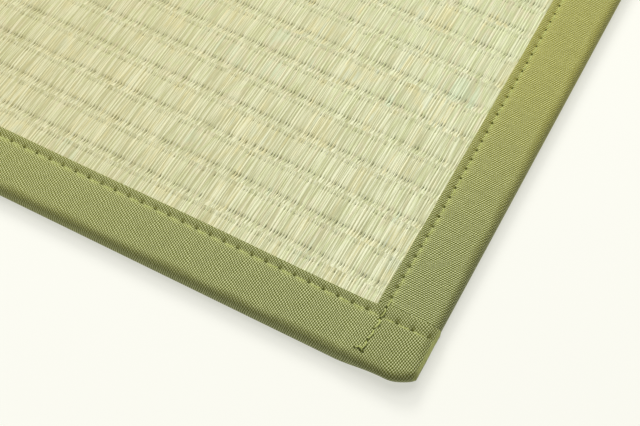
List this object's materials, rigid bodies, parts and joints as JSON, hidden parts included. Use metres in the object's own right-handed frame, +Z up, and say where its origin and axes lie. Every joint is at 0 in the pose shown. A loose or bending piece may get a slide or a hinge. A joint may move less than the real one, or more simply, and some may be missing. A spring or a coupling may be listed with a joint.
{
  "type": "tatami mat",
  "caption": "Half-size flat woven rush floor mat with ribbed surface, its sides bound in folded green cloth that laps over at the corners.",
  "frame": {"origin": "centre of the mat's underside, on the floor", "axes": "+Z up through the mat's thickness, X along the ribs of the weave, Y along the rushes and the side bindings"},
  "size_m": [0.82, 0.82, 0.0079],
  "materials": {
    "rush": "dry woven rush with a faint satin sheen",
    "binding_cloth": "matte plain-woven cotton"
  },
  "bodies": {
    "root": {"rush_mat": "rush", "binding_right": "binding_cloth", "binding_left": "binding_cloth", "binding_front": "binding_cloth", "binding_back": "binding_cloth"}
  },
  "joints": []
}
